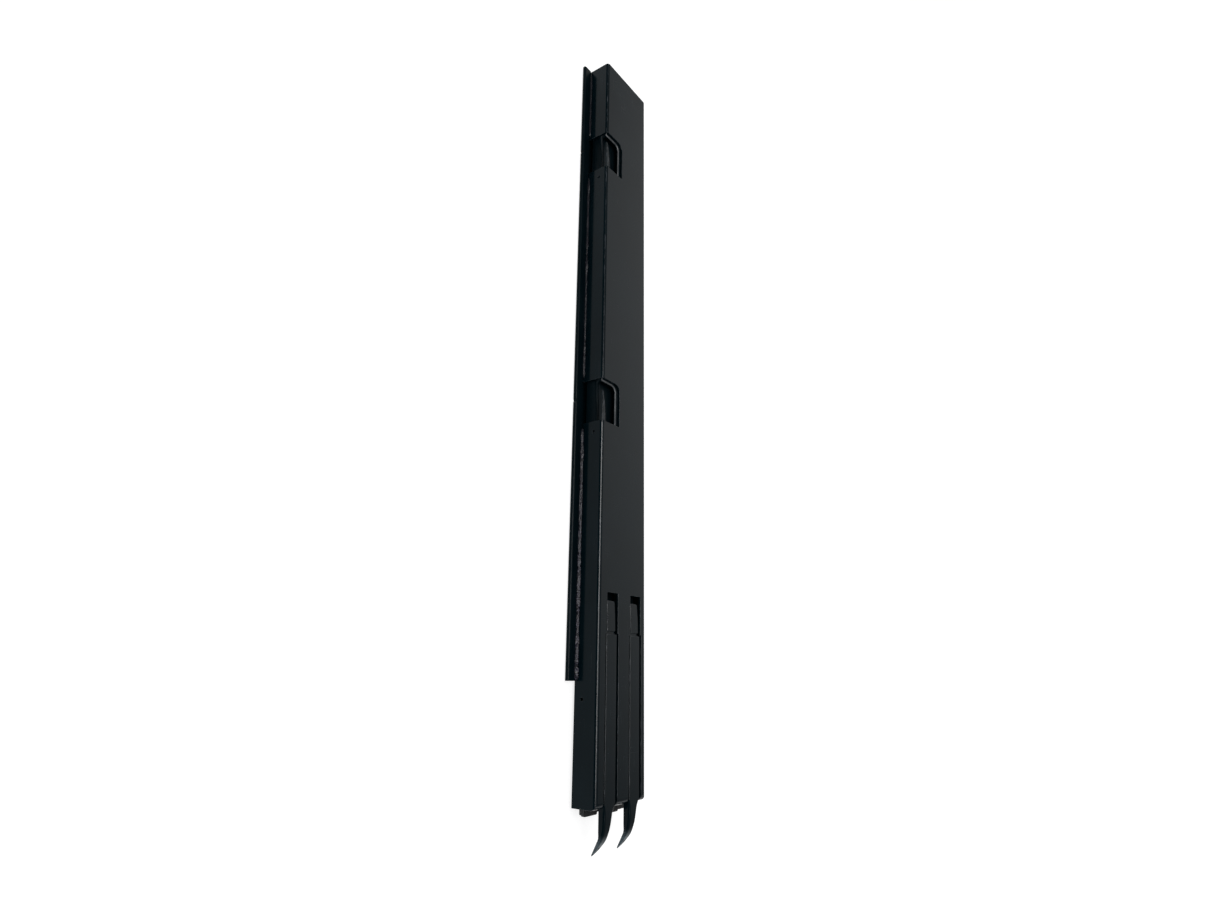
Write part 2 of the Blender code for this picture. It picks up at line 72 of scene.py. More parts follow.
# Sheet sections, in millimetres
PLATE_T = 1.5
SHEET_T = 1.5
RAIL_T = 1.4
LIP_T = 1.2
GAP = 0.3
CORNER_R = 2.1
NOSE_R = 3.8
FRONT_WALL_Z = 13.6                  # the channel's front wall reaches down to here
LEVER_CUT_Z = 11.5                   # where the cutters for slots and windows start
SKIRT_Z = PLATE_T + GAP
DRAWER_LEG = HALF_WIDTH - SHEET_T - GAP
DRAWER_LEG_IN = DRAWER_LEG - RAIL_T
BALL_R = 1.6
BALL_ROOM = 2 * (BALL_R + GAP)
MID_LEG = DRAWER_LEG_IN - BALL_ROOM
MID_LEG_IN = MID_LEG - RAIL_T
CABINET_LEG = MID_LEG_IN - BALL_ROOM
CABINET_LEG_IN = CABINET_LEG - RAIL_T
DRAWER_WEB_Z = TOP - SHEET_T - 0.4
DRAWER_RAIL_Z = RAIL_LOW.z / MM
MID_RAIL_Z = 3.3
MID_WEB_Z = 12.5
CABINET_TOP_Z = 10.7

# Notches, levers and holes, in millimetres
NOTCHES = ((225, 254), (417, 446))
NOTCH_DEPTH = 19
NOTCH_FLOOR_Z = 12.9
NOTCH_RIM = (2.3, 1.3)               # how far the rail's web shows inside, across and at the rear
RIM_CHAMFER = 0.7
HOOK_LENGTH = 20.5
HOOK_TIP = 0.10                      # how far a hook's outer edge drops, for each mm of width
LEVERS = (("left", -11.05), ("right", 13.55))
LEVER_HALF = 5.15
SLOT_HALF = 6.6
WINDOW_HALF = 5.6
WINDOW = (93.6, 117.4)
PIVOT_AT = 60
PIVOT_Z = 14.4
EAR_X = 7.5
RIVETS_AT = (96, 226, 356, 486)
SCREWS_AT = (116, 206, 376, 466)
RIVET_R = 1.7
RIVET_HEAD_R = 3.0
SCREW_R = 2.6
SCREW_HEAD_R = 4.5                   # room for a screw's head in the cabinet rail
PIN_R = 0.8
PIN_HOLE_R = 1.1
WALL_HOLE_R = 1.0                    # two dimples and a hole in the channel's side wall
BALLS_PER_ROW = 7
BALL_PITCH = 20

# Old grease beside the channel's wall, in millimetres: start, end and size of each bead
GREASE_BEADS = ((66, 76, 2.1), (74, 222, 1.85), (257, 413, 1.3), (449, 506, 1.1))

# Camera: where it stands and what it looks at, in millimetres, with its roll in degrees
CAMERA_AT = (-371.5, -215.4, 277.1)
CAMERA_AIM = (-5.9, -79.6, 9.0)
CAMERA_ROLL = 78.98
CAMERA_LENS = 21.37


# ---------------------------------------------------------------- shapes

def rounded(corners, segments=8):
    """Polygon from (a, b, radius) corners, with an arc at each corner that has a radius."""
    points = []
    count = len(corners)
    for index, (a, b, radius) in enumerate(corners):
        here = Vector((a, b))
        if radius == 0:
            points.append(here)
            continue
        into = (Vector(corners[index - 1][:2]) - here).normalized()
        out = (Vector(corners[(index + 1) % count][:2]) - here).normalized()
        half_turn = into.angle(out) / 2
        reach = radius / math.tan(half_turn)
        centre = here + (into + out).normalized() * (radius / math.sin(half_turn))
        start = (here + into * reach - centre).normalized()
        end = (here + out * reach - centre).normalized()
        for step in range(segments + 1):
            points.append(centre + start.slerp(end, step / segments) * radius)
    return points


def mirrored(half):
    """Closed symmetric outline from the corners of its +X half."""
    return half + [(-a, b, radius) for a, b, radius in reversed(half)]


def shape(bm):
    """A working object from a bmesh, which piece() finishes if it is part of the slide."""
    bmesh.ops.recalc_face_normals(bm, faces=bm.faces)
    mesh = bpy.data.meshes.new("shape")
    bm.to_mesh(mesh)
    bm.free()
    obj = bpy.data.objects.new("shape", mesh)
    bpy.context.scene.collection.objects.link(obj)
    return obj


def extruded(outline, low, high, axis):
    """An outline pushed from low to high along an axis."""
    place = {"X": lambda a, b, h: (h, a, b), "Y": lambda a, b, h: (a, h, b),
             "Z": lambda a, b, h: (a, b, h)}[axis]
    bm = bmesh.new()
    lower = [bm.verts.new(place(a, b, low)) for a, b in outline]
    upper = [bm.verts.new(place(a, b, high)) for a, b in outline]
    bm.faces.new(lower)
    bm.faces.new(reversed(upper))
    for index in range(len(outline)):
        after = (index + 1) % len(outline)
        bm.faces.new((lower[index], upper[index], upper[after], lower[after]))
    return shape(bm)


def block(low, high, radius=0.0):
    """A block whose upright corners may be rounded."""
    outline = [(low[0], low[1], radius), (high[0], low[1], radius), (high[0], high[1], radius),
               (low[0], high[1], radius)]
    return extruded(rounded(outline, 5), low[2], high[2], "Z")


def rod(centre, radius, length, axis, sides=32):
    """A round bar about Z or X."""
    turn = {"Z": Matrix.Identity(4), "X": Matrix.Rotation(math.pi / 2, 4, "Y")}[axis]
    bm = bmesh.new()
    bmesh.ops.create_cone(bm, cap_ends=True, segments=sides, radius1=radius, radius2=radius,
                          depth=length, matrix=Matrix.Translation(centre) @ turn)
    return shape(bm)


def lofted(rings):
    """A closed solid through rings that have the same number of points."""
    bm = bmesh.new()
    made = [[bm.verts.new(point) for point in ring] for ring in rings]
    bm.faces.new(made[0])
    bm.faces.new(reversed(made[-1]))
    for back, front in zip(made, made[1:]):
        for corner in range(len(back)):
            after = (corner + 1) % len(back)
            bm.faces.new((back[corner], back[after], front[after], front[corner]))
    return shape(bm)


def turned(profile, at, sides=36):
    """Solid of revolution about Z from (radius, z) points that start and end on the axis."""
    bm = bmesh.new()
    line = [bm.verts.new((at[0] + radius, at[1], at[2] + z)) for radius, z in profile]
    edges = [bm.edges.new(pair) for pair in zip(line, line[1:])]
    bmesh.ops.spin(bm, geom=line + edges, cent=at, axis=(0, 0, 1), angle=2 * math.pi,
                   steps=sides, use_merge=True)
    bmesh.ops.remove_doubles(bm, verts=bm.verts, dist=1e-4)
    return shape(bm)


def combined(target, operation, tools):
    """Cuts (DIFFERENCE) or joins (UNION) the tools, and removes them."""
    for tool in tools:
        modifier = target.modifiers.new("combine", "BOOLEAN")
        modifier.operation = operation
        modifier.solver = "EXACT"
        modifier.object = tool
    graph = bpy.context.evaluated_depsgraph_get()
    mesh = bpy.data.meshes.new_from_object(target.evaluated_get(graph))
    target.modifiers.clear()
    target.data = mesh
    for tool in tools:
        bpy.data.objects.remove(tool)
    return target


def cut(target, *tools):
    return combined(target, "DIFFERENCE", tools)


def joined(target, *tools):
    return combined(target, "UNION", tools)


def mark(obj, test):
    """Puts the faces that pass a test in the second material, for scuffed places; where the test picks
    faces turned to the edge light, that lighter paint is also a painted highlight.
    """
    for face in obj.data.polygons:
        face.material_index = int(test(face))


def piece(obj, name, nodes, materials, edge=0.2, angle=35):
    """Finishes a shape: rounded edges in the last material, its place in the frame, and its body."""
    obj.name = name
    obj.data.name = name
    obj.data.transform(TO_FRAME)
    places = [face.material_index for face in obj.data.polygons]
    obj.data.materials.clear()
    for material in materials:
        obj.data.materials.append(material)
    obj.data.polygons.foreach_set("material_index", places)
    obj.data.shade_smooth()
    if edge:
        bevel = obj.modifiers.new("rounded_edges", "BEVEL")
        bevel.width = edge * MM
        bevel.segments = 3
        bevel.limit_method = "ANGLE"
        bevel.use_clamp_overlap = False
        bevel.angle_limit = math.radians(angle)
        bevel.material = len(materials) - 1
        weighted = obj.modifiers.new("flat_faces", "WEIGHTED_NORMAL")
        weighted.keep_sharp = True
    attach(obj, BODY_OF[nodes[0]])
    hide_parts(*nodes)
    return obj


# ---------------------------------------------------------------- materials

class Recipe:
    """A node material: each call adds a node and gives its output, ready to feed another."""

    def __init__(self, name, metallic=0.0, specular=0.5):
        self.material = bpy.data.materials.new(name)
        self.material.use_nodes = True
        self.tree = self.material.node_tree
        self.shader = self.tree.nodes["Principled BSDF"]
        self.shader.inputs["Metallic"].default_value = metallic
        self.shader.inputs["Specular IOR Level"].default_value = specular
        self.place = self.tree.nodes.new("ShaderNodeTexCoord").outputs["Object"]

    def feed(self, socket, value):
        if isinstance(value, bpy.types.NodeSocket):
            self.tree.links.new(value, socket)
        else:
            socket.default_value = value

    def scaled(self, scale, turn=0.0):
        """Coordinates in millimetres, stretched by 1/scale along each axis."""
        node = self.tree.nodes.new("ShaderNodeMapping")
        node.inputs["Scale"].default_value = [1000 * factor for factor in scale]
        node.inputs["Rotation"].default_value = (0, 0, math.radians(turn))
        self.feed(node.inputs["Vector"], self.place)
        return node.outputs["Vector"]

    def noise(self, place, scale, detail=2.0, roughness=0.5):
        node = self.tree.nodes.new("ShaderNodeTexNoise")
        node.inputs["Scale"].default_value = scale
        node.inputs["Detail"].default_value = detail
        node.inputs["Roughness"].default_value = roughness
        self.feed(node.inputs["Vector"], place)
        return node.outputs["Fac"]

    def cells(self, place, scale, output="Distance"):
        node = self.tree.nodes.new("ShaderNodeTexVoronoi")
        node.inputs["Scale"].default_value = scale
        self.feed(node.inputs["Vector"], place)
        return node.outputs[output]

    def ramp(self, value, low, high, to_low=0.0, to_high=1.0):
        node = self.tree.nodes.new("ShaderNodeMapRange")
        node.interpolation_type = "SMOOTHSTEP"
        for socket, number in zip(("From Min", "From Max", "To Min", "To Max"),
                                  (low, high, to_low, to_high)):
            node.inputs[socket].default_value = number
        self.feed(node.inputs["Value"], value)
        return node.outputs["Result"]

    def math(self, operation, a, b=0.0):
        node = self.tree.nodes.new("ShaderNodeMath")
        node.operation = operation
        self.feed(node.inputs[0], a)
        self.feed(node.inputs[1], b)
        return node.outputs[0]

    def axis(self, name):
        node = self.tree.nodes.new("ShaderNodeSeparateXYZ")
        self.feed(node.inputs[0], self.place)
        return node.outputs[name]

    def mix(self, share, a, b):
        """Colour a where share is 0 and b where it is 1."""
        node = self.tree.nodes.new("ShaderNodeMix")
        node.data_type = "RGBA"
        self.feed(node.inputs[0], share)
        self.feed(node.inputs[6], a if isinstance(a, bpy.types.NodeSocket) else (*a, 1))
        self.feed(node.inputs[7], b if isinstance(b, bpy.types.NodeSocket) else (*b, 1))
        return node.outputs[2]

    def bump(self, height, strength, distance):
        node = self.tree.nodes.new("ShaderNodeBump")
        node.inputs["Strength"].default_value = strength
        node.inputs["Distance"].default_value = distance * MM
        self.feed(node.inputs["Height"], height)
        self.feed(self.shader.inputs["Normal"], node.outputs["Normal"])

    def finish(self, colour, roughness):
        self.feed(self.shader.inputs["Base Color"], colour)
        self.feed(self.shader.inputs["Roughness"], roughness)
        return self.material


def black_coat(name, wear_and_highlight, specular, gloss=0.12, painted_tip_reflection=False):
    """Black coating on steel: faint orange peel, scuffed scratches, dust and cloudy patches; optional
    lighter paint from scuffing, which is also a painted highlight where it is put on faces turned to
    the edge light, and an optional painted reflection on a finger's end.
    """
    recipe = Recipe(name, specular=specular)
    even = recipe.scaled((1, 1, 1))
    cloud = recipe.ramp(recipe.noise(even, 0.03, 3), 0.35, 0.7)
    patch = recipe.ramp(recipe.noise(even, 0.06, 2), 0.5, 0.66)
    peel = recipe.noise(even, 2.0, 2)
    along = recipe.ramp(recipe.noise(recipe.scaled((3.2, 0.035, 3.2), 2.5), 1.0, 1), 0.67, 0.74)
    across = recipe.ramp(recipe.noise(recipe.scaled((0.06, 4.0, 1.0), -12), 1.0, 1), 0.71, 0.76)
    scratch = recipe.math("MULTIPLY", recipe.math("MAXIMUM", along, across), patch)
    speck = recipe.ramp(recipe.cells(even, 0.42), 0.1, 0.04)
    dust = recipe.math("MULTIPLY", speck, recipe.ramp(recipe.noise(even, 0.11, 2), 0.48, 0.6))
    colour = recipe.mix(cloud, (0.0006, 0.0042, 0.0062), (0.0014, 0.0058, 0.0084))
    colour = recipe.mix(recipe.math("MULTIPLY", scratch, 0.22), colour, (0.045, 0.047, 0.05))
    colour = recipe.mix(recipe.math("MULTIPLY", dust, 0.16), colour, (0.10, 0.10, 0.095))
    # Lighter paint from scuffing, in the noise mask below; where mark() puts it on faces turned towards
    # the edge light it is also a painted highlight.
    if wear_and_highlight:
        rub_and_highlight = recipe.ramp(recipe.noise(recipe.scaled((0.8, 0.18, 0.8)), 1.0, 3), 0.45, 0.72)
        colour = recipe.mix(recipe.math("MULTIPLY", rub_and_highlight, wear_and_highlight), colour, (0.11, 0.12, 0.14))
    # Painted reflection: a pale bluish speckled colour on the finger's curved end, ahead of station -15
    # mm, standing in for the white floor seen in it.
    if painted_tip_reflection:
        at = recipe.axis("Y")
        tip_reflection_zone = recipe.ramp(at, FRONT_Y - 15 * MM, FRONT_Y - 21 * MM)
        reflection_speckle = recipe.ramp(recipe.noise(even, 2.6, 3), 0.36, 0.62, 0.25, 1.0)
        colour = recipe.mix(recipe.math("MULTIPLY", tip_reflection_zone, reflection_speckle), colour, (0.075, 0.10, 0.115))
    rough = recipe.math("ADD", recipe.ramp(cloud, 0, 1, gloss, gloss + 0.05),
                        recipe.math("MULTIPLY", recipe.math("MAXIMUM", scratch, dust), 0.25))
    recipe.bump(recipe.math("SUBTRACT", peel, scratch), 0.10, 0.02)
    return recipe.finish(colour, rough)


def plated(name, base, dull, roughness, grain=1.0):
    """Plated or ground steel: drawn along its length, with a mottled film of dull oxide."""
    recipe = Recipe(name, metallic=1.0)
    drawn = recipe.noise(recipe.scaled((6 * grain, 0.15, 6 * grain)), 1.0, 3)
    film = recipe.ramp(recipe.noise(recipe.scaled((1, 1, 1)), 0.25, 3), 0.4, 0.65)
    colour = recipe.mix(film, base, dull)
    rough = recipe.math("ADD", recipe.ramp(film, 0, 1, roughness, roughness + 0.12),
                        recipe.math("MULTIPLY", drawn, 0.1))
    recipe.bump(drawn, 0.15, 0.01)
    return recipe.finish(colour, rough)


def moulded(name, base, light, roughness, grain):
    """Moulded nylon or rubber: fine even grain, with a pale bloom and dust."""
    recipe = Recipe(name, specular=0.3)
    even = recipe.scaled((1, 1, 1))
    tooth = recipe.noise(even, grain, 3)
    bloom = recipe.ramp(recipe.noise(even, 0.22, 3), 0.42, 0.68)
    colour = recipe.mix(recipe.math("MULTIPLY", bloom, 0.7), base, light)
    recipe.bump(tooth, 0.3, 0.03)
    return recipe.finish(colour, recipe.ramp(tooth, 0.3, 0.7, roughness - 0.08, roughness + 0.08))


def grease():
    """Dirty grease that has picked up fine metal dust: dark and lumpy, with pale glints painted into
    its colour as patchy specks that fade towards the rear.
    """
    recipe = Recipe("dusty_grease_painted_glints", specular=0.2)
    even = recipe.scaled((1, 1, 1))
    lumps = recipe.noise(even, 1.4, 3)
    # Painted glints: pale specks in the colour, in patches, fading from the front towards the rear.
    painted_glint = recipe.ramp(recipe.cells(even, 3.4, "Color"), 0.56, 0.74)
    glint_patches = recipe.ramp(recipe.noise(even, 0.5, 2), 0.36, 0.62)
    glint_fade = recipe.ramp(recipe.axis("Y"), FRONT_Y + 90 * MM, FRONT_Y + 260 * MM, 1.0, 0.12)
    share = recipe.math("MULTIPLY", recipe.math("MULTIPLY", painted_glint, glint_patches), glint_fade)
    colour = recipe.mix(share, (0.003, 0.003, 0.007), (0.095, 0.088, 0.13))
    recipe.bump(recipe.math("ADD", lumps, painted_glint), 0.8, 0.12)
    return recipe.finish(colour, recipe.ramp(share, 0, 1, 0.34, 0.5))


# ---------------------------------------------------------------- drawer member

def channel_block(half_width, top, front, corner, nose, skirt, rear):
    """Solid with rounded long corners and a rounded front top edge."""
    section = mirrored([(half_width, top, corner), (half_width, skirt, 0)])
    solid = extruded(rounded(section), front, rear, "Y")
    steps = 14
    turns = [math.pi / 2 * step / steps for step in range(steps + 1)]
    outside = [(front - 1, top + 1), (front - 1, top - nose)]
    outside += [(front + nose - nose * math.cos(turn), top - nose + nose * math.sin(turn))
                for turn in turns]
    outside.append((front + nose, top + 1))
    return cut(solid, extruded(outside, -half_width - 1, half_width + 1, "X"))


def hook(low):
    """Blade at a notch's front corner: straight outer edge, curved inner edge, tipped outward."""
    steps = 12
    rings = []
    for step in range(steps + 1):
        share = step / steps
        outer = -HALF_WIDTH + 0.25 + 0.45 * share
        width = 3.1 * (1 - share ** 1.7) + 0.3
        over = TOP - 0.1 - 1.5 * max(0, share - 0.6) ** 2
        under = over - SHEET_T
        at = low - 1 + (HOOK_LENGTH + 1) * share
        rings.append([(outer, at, under), (outer + width, at, under), (outer + width, at, over),
                      (outer, at, over - HOOK_TIP * width)])
    return lofted(rings)


def notch(low, high):
    """Cutter for one bayonet notch."""
    outside = -HALF_WIDTH - 5
    inner = -HALF_WIDTH + NOTCH_DEPTH
    outline = rounded([(outside, low, 0), (inner, low, 0.6), (inner, high, 5), (outside, high, 0)])
    return extruded(outline, -2, TOP + 5, "Z")


def drawer_channel(materials):
    """The wide cover, with lever slots, latch windows and two bayonet notches."""
    cover = channel_block(HALF_WIDTH, TOP, -NOSE_REACH, CORNER_R, NOSE_R, SKIRT_Z, LENGTH)
    hollow = channel_block(HALF_WIDTH - SHEET_T, TOP - SHEET_T, SHEET_T - NOSE_REACH, 0.4,
                           NOSE_R - SHEET_T, SKIRT_Z - 5, LENGTH + 5)
    inner = HALF_WIDTH - SHEET_T
    cut(cover, hollow)
    cut(cover, block((-inner, -5, 0), (inner, SHEET_T, FRONT_WALL_Z)))
    for _, middle in LEVERS:
        cut(cover, block((middle - SLOT_HALF, -5, LEVER_CUT_Z),
                         (middle + SLOT_HALF, WINDOW[0], TOP + 5)))
        cut(cover, block((middle - WINDOW_HALF, WINDOW[0] - 2, LEVER_CUT_Z),
                         (middle + WINDOW_HALF, WINDOW[1], TOP + 5), 0.7))
    for low, high in NOTCHES:
        cut(cover, notch(low, high))
        joined(cover, hook(low))
        cut(cover, rod((-HALF_WIDTH, low - 7, 12), WALL_HOLE_R, 2, "X"))
    cut(cover, rod((-HALF_WIDTH, 56, 7.5), WALL_HOLE_R, 6, "X"))

    # Lighter scuffed paint on the bend faces turned towards the edge light, on the nose and the left
    # corner but not the right one: scuffing and a painted highlight along the bend. The hook tops get
    # it too: scuffing and a painted lighter top.
    def rub_and_highlight(face):
        on_hook = any(-1 < face.center.y - low < HOOK_LENGTH for low, _ in NOTCHES)
        on_lit_bend = 0.6 < face.normal.z < 0.87 and face.center.x < HALF_WIDTH - 3
        return on_lit_bend or (on_hook and face.center.x < -22 and face.normal.z > 0.8)

    mark(cover, rub_and_highlight)
    piece(cover, "drawer_channel_cover", ["drawer_channel"], materials, 0.22)


def drawer_rail(materials):
    """Inner rail under the cover; its web shows as a rim inside each notch."""
    lip = DRAWER_LEG_IN - 2.4
    half = [(DRAWER_LEG, DRAWER_WEB_Z, 1.0), (DRAWER_LEG, DRAWER_RAIL_Z, 0.9),
            (lip, DRAWER_RAIL_Z, 0), (lip, DRAWER_RAIL_Z + LIP_T, 0),
            (DRAWER_LEG_IN, DRAWER_RAIL_Z + LIP_T, 0.2),
            (DRAWER_LEG_IN, DRAWER_WEB_Z - RAIL_T, 0.2)]
    rail = extruded(rounded(mirrored(half), 6), 0.8, LENGTH, "Y")
    for _, middle in LEVERS:
        for edge in (-1, 1):
            ear = middle + edge * EAR_X
            joined(rail, block((ear - 0.5, PIVOT_AT - 3, PIVOT_Z - 1.5),
                               (ear + 0.5, PIVOT_AT + 3, DRAWER_WEB_Z - 0.5)))
        cut(rail, rod((middle, PIVOT_AT, PIVOT_Z), PIN_HOLE_R, 2 * EAR_X + 1.2, "X"))
        reach = SLOT_HALF + GAP
        cut(rail, block((middle - reach, -5, MID_WEB_Z), (middle + reach, WINDOW[1] + 2, TOP), 0))
    for low, high in NOTCHES:
        inner = -HALF_WIDTH + NOTCH_DEPTH - NOTCH_RIM[0]
        rear = high - NOTCH_RIM[1]
        rings = []
        slope_z = DRAWER_WEB_Z - RIM_CHAMFER
        for reach, z in ((0, NOTCH_FLOOR_Z), (0, slope_z), (2, slope_z + 2)):
            outline = rounded([(-HALF_WIDTH - 5, low - reach, 0), (inner + reach, low - reach, 0),
                               (inner + reach, rear + reach, 4 + reach),
                               (-HALF_WIDTH - 5, rear + reach, 0)])
            rings.append([(x, at, z) for x, at in outline])
        cut(rail, lofted(rings))
    mark(rail, lambda face: 0.3 < face.normal.z < 0.9 and face.center.z > DRAWER_WEB_Z - 1
         and face.center.x < 0 and -0.95 < face.normal.x)
    piece(rail, "drawer_rail_strip", ["drawer_rail"], materials, 0)


def smooth_sections(sections, steps=5):
    """More sections along a Catmull-Rom curve through the given ones."""
    points = [Vector(section) for section in sections]
    points = [2 * points[0] - points[1]] + points + [2 * points[-1] - points[-2]]
    made = []
    for a, b, c, d in zip(points, points[1:], points[2:], points[3:]):
        for step in range(steps):
            t = step / steps
            made.append(0.5 * (2 * b + (c - a) * t + (2 * a - 5 * b + 4 * c - d) * t * t
                               + (3 * b - a - 3 * c + d) * t ** 3))
    return made + [points[-2]]


def release_lever(word, middle, materials):
    """Flush strip with a sunk latch tab at the rear and a curved finger at the front."""
    top = TOP - GAP
    low = 16.3
    # Each section: top station and height, bottom station and height, left and right edge
    tab = ((112.7, 17.2, 112.7, 15.0, -3.6, 4.5), (111.7, 17.4, 111.7, 12.9, -3.6, 4.5),
           (105.7, 17.6, 105.7, 12.9, -3.6, 4.5), (104.9, 17.7, 104.9, 15.6, -3.6, 4.5),
           (94.8, 17.9, 94.8, low, -3.6, 4.5), (94.6, 17.2, 94.6, low, -3.6, 4.5),
           (93.0, 17.2, 93.0, low, -LEVER_HALF, LEVER_HALF),
           (92.8, top, 92.8, low, -LEVER_HALF, LEVER_HALF),
           (0.2, top, 0.2, low, -LEVER_HALF, LEVER_HALF))
    finger = ((-0.6, top, -0.6, 14.3, -LEVER_HALF, 4.7), (-3.4, top, -3.4, 14.2, -LEVER_HALF, 3.6),
              (-9.6, 18.4, -9.6, 14.2, -LEVER_HALF, 2.2), (-13.8, 17.9, -13.2, 14.2, -LEVER_HALF, 1.3),
              (-18.2, 16.4, -17.0, 14.2, -LEVER_HALF, 0.2), (-21.2, 14.2, -19.9, 12.8, -5.05, -0.6),
              (-24.2, 11.8, -23.2, 10.9, -4.8, -2.1), (-26.6, 9.5, -26.0, 9.2, -4.5, -4.0))
    rings = []
    for top_at, top_z, low_at, low_z, left, right in list(tab) + smooth_sections(finger):
        low_point = Vector((middle, low_at, low_z))
        rise = Vector((middle, top_at, top_z)) - low_point
        height = rise.length
        bend = min(0.45 + 0.25 * max(0, -top_at), 1.5, 0.42 * height, 0.42 * (right - left))
        outline = rounded([(left, 0, 0), (right, 0, 0), (right, height, bend),
                           (left, height, bend)], 6)
        rings.append([low_point + Vector((across, 0, 0)) + rise * (up / height)
                      for across, up in outline])
    lever = lofted(rings)
    # A small round dent in the finger
    bm = bmesh.new()
    bmesh.ops.create_icosphere(bm, subdivisions=3, radius=0.85,
                               matrix=Matrix.Translation((middle - 2.6, -22.6, 13.0)))
    cut(lever, shape(bm))
    # Lighter scuffed paint on the strip's left top edge only, the side turned towards the edge light:
    # scuffing and a painted highlight.
    mark(lever, lambda face: 0.3 < face.normal.z < 0.92 and face.normal.x < -0.25
         and face.center.y > 0)
    joined(lever, block((middle - 3, PIVOT_AT - 2.4, PIVOT_Z - 1.5),
                        (middle + 3, PIVOT_AT + 2.4, 17)))
    cut(lever, rod((middle, PIVOT_AT, PIVOT_Z), PIN_HOLE_R, 12, "X"))
    name = f"release_lever_{word}"
    piece(lever, name + "_strip", [name], materials, 0.15, 42)


def lever_pivot(word, middle, zinc):
    """The pin, with domed ends, and the torsion spring wound round it."""
    half = 7.8
    end_r = PIN_R - 0.25
    profile = [(0, -half), (end_r, -half), (PIN_R, -half + 0.25), (PIN_R, half - 0.25),
               (end_r, half), (0, half)]
    pin = turned(profile, (0, 0, 0))
    pin.data.transform(Matrix.Translation((middle, PIVOT_AT, PIVOT_Z))
                       @ Matrix.Rotation(math.pi / 2, 4, "Y"))
    name = f"lever_pivot_pin_{word}"
    piece(pin, name + "_domed", [name], [zinc], 0.1)
    coil_r = 1.15
    wire_r = 0.2
    pitch = 0.55
    turns = 4
    steps = 28
    path = []
    for step in range(turns * steps + 1):
        turn = 2 * math.pi * step / steps
        path.append(Vector((middle + 3.5 + pitch * step / steps,
                            PIVOT_AT + coil_r * math.cos(turn), PIVOT_Z + coil_r * math.sin(turn))))
    path.append(path[-1] + Vector((0, 0.05, 0.6)))
    path.append(path[-1] + Vector((0, 0.35, 0.4)))
    path.append(path[-1] + Vector((0, 7.8, 0.1)))
    rings = []
    for index, point in enumerate(path):
        forward = (path[min(index + 1, len(path) - 1)] - path[max(index - 1, 0)]).normalized()
        across = forward.cross(Vector((1, 0, 0))).normalized()
        up = across.cross(forward)
        rings.append([point + wire_r * (across * math.cos(turn) + up * math.sin(turn))
                      for turn in [2 * math.pi * side / 10 for side in range(10)]])
    name = f"lever_spring_{word}"
    piece(lofted(rings), name + "_wire", [name], [zinc], 0)


# ---------------------------------------------------------------- intermediate and cabinet members

def intermediate_rail(materials):
    """The middle member: a hat section whose brim runs under the drawer rail's web."""
    lip = MID_LEG_IN - 1.8
    web_low = MID_WEB_Z - RAIL_T
    half = [(MID_LEG + 2.6, MID_WEB_Z, 0.6), (MID_LEG + 2.6, web_low, 0.3), (MID_LEG, web_low, 0.3),
            (MID_LEG, MID_RAIL_Z, 0.7), (lip, MID_RAIL_Z, 0.3), (lip, MID_RAIL_Z + 1.0, 0.3),
            (MID_LEG_IN, MID_RAIL_Z + 1.0, 0.2), (MID_LEG_IN, web_low, 0.4)]
    rail = extruded(rounded(mirrored(half), 5), 0, LENGTH - 8, "Y")
    piece(rail, "intermediate_rail_strip", ["intermediate_rail"], materials, 0.2)


def mounting_plate(materials):
    """Plate whose long edges are folded over once, so a thin fold line shows at its ends."""
    hem = HALF_WIDTH + 0.6
    fold = PLATE_HALF - 1.5
    layer = PLATE_T + 0.1
    half = [(PLATE_HALF, 0, 1.45), (PLATE_HALF, HEM_TOP, 1.45), (hem, HEM_TOP, 0.25),
            (hem, layer, 0.1), (fold, layer, 0), (fold, PLATE_T, 0)]
    plate = extruded(rounded(mirrored(half)), SETBACK, LENGTH, "Y")
    for at in RIVETS_AT:
        cut(plate, rod((0, at, 1), RIVET_R + GAP, 6, "Z"))
    for at in SCREWS_AT:
        cut(plate, rod((0, at, 1), SCREW_R, 6, "Z"))
    for low, high in NOTCHES:
        for side in (-1, 1):
            cut(plate, rod((side * PLATE_HALF, (low + high) / 2, 1), 1.2, 6, "Z", 20))
    piece(plate, "mounting_plate_hemmed", ["cabinet_mounting_plate"], materials,
          0.12, 50)


def cabinet_rail(materials):
    """U-shaped rail with outward lips, and holes over the plate's screws and rivets."""
    lip = CABINET_LEG + 2.1
    web_top = SKIRT_Z + RAIL_T
    half = [(CABINET_LEG, SKIRT_Z, 0.9), (CABINET_LEG, CABINET_TOP_Z - LIP_T, 0.3),
            (lip, CABINET_TOP_Z - LIP_T, 0.3), (lip, CABINET_TOP_Z, 0.3),
            (CABINET_LEG_IN, CABINET_TOP_Z, 0.8), (CABINET_LEG_IN, web_top, 0.4)]
    rail = extruded(rounded(mirrored(half), 5), SETBACK + 0.5, LENGTH, "Y")
    for at in RIVETS_AT:
        cut(rail, rod((0, at, web_top), RIVET_R + GAP, 6, "Z"))
    for at in SCREWS_AT:
        cut(rail, rod((0, at, web_top), SCREW_HEAD_R, 6, "Z"))
    piece(rail, "cabinet_rail_strip", ["cabinet_rail"], materials, 0.2)


def cabinet_rivets(zinc):
    """Flat shank ends below, low domed heads above."""
    base = SKIRT_Z + RAIL_T + GAP
    steps = 8
    dome = [(RIVET_HEAD_R * math.cos(turn), base + 0.25 + 0.85 * math.sin(turn))
            for turn in [math.pi / 2 * step / steps for step in range(steps)]]
    profile = [(0, 0.1), (RIVET_R - 0.2, 0.1), (RIVET_R, 0.3), (RIVET_R, base),
               (RIVET_HEAD_R, base)]
    profile += dome + [(0, base + 1.1)]
    for number, at in enumerate(RIVETS_AT, start=1):
        name = f"cabinet_rivet_{number}"
        piece(turned(profile, (0, at, 0)), name + "_domed", [name], [zinc], 0.08)


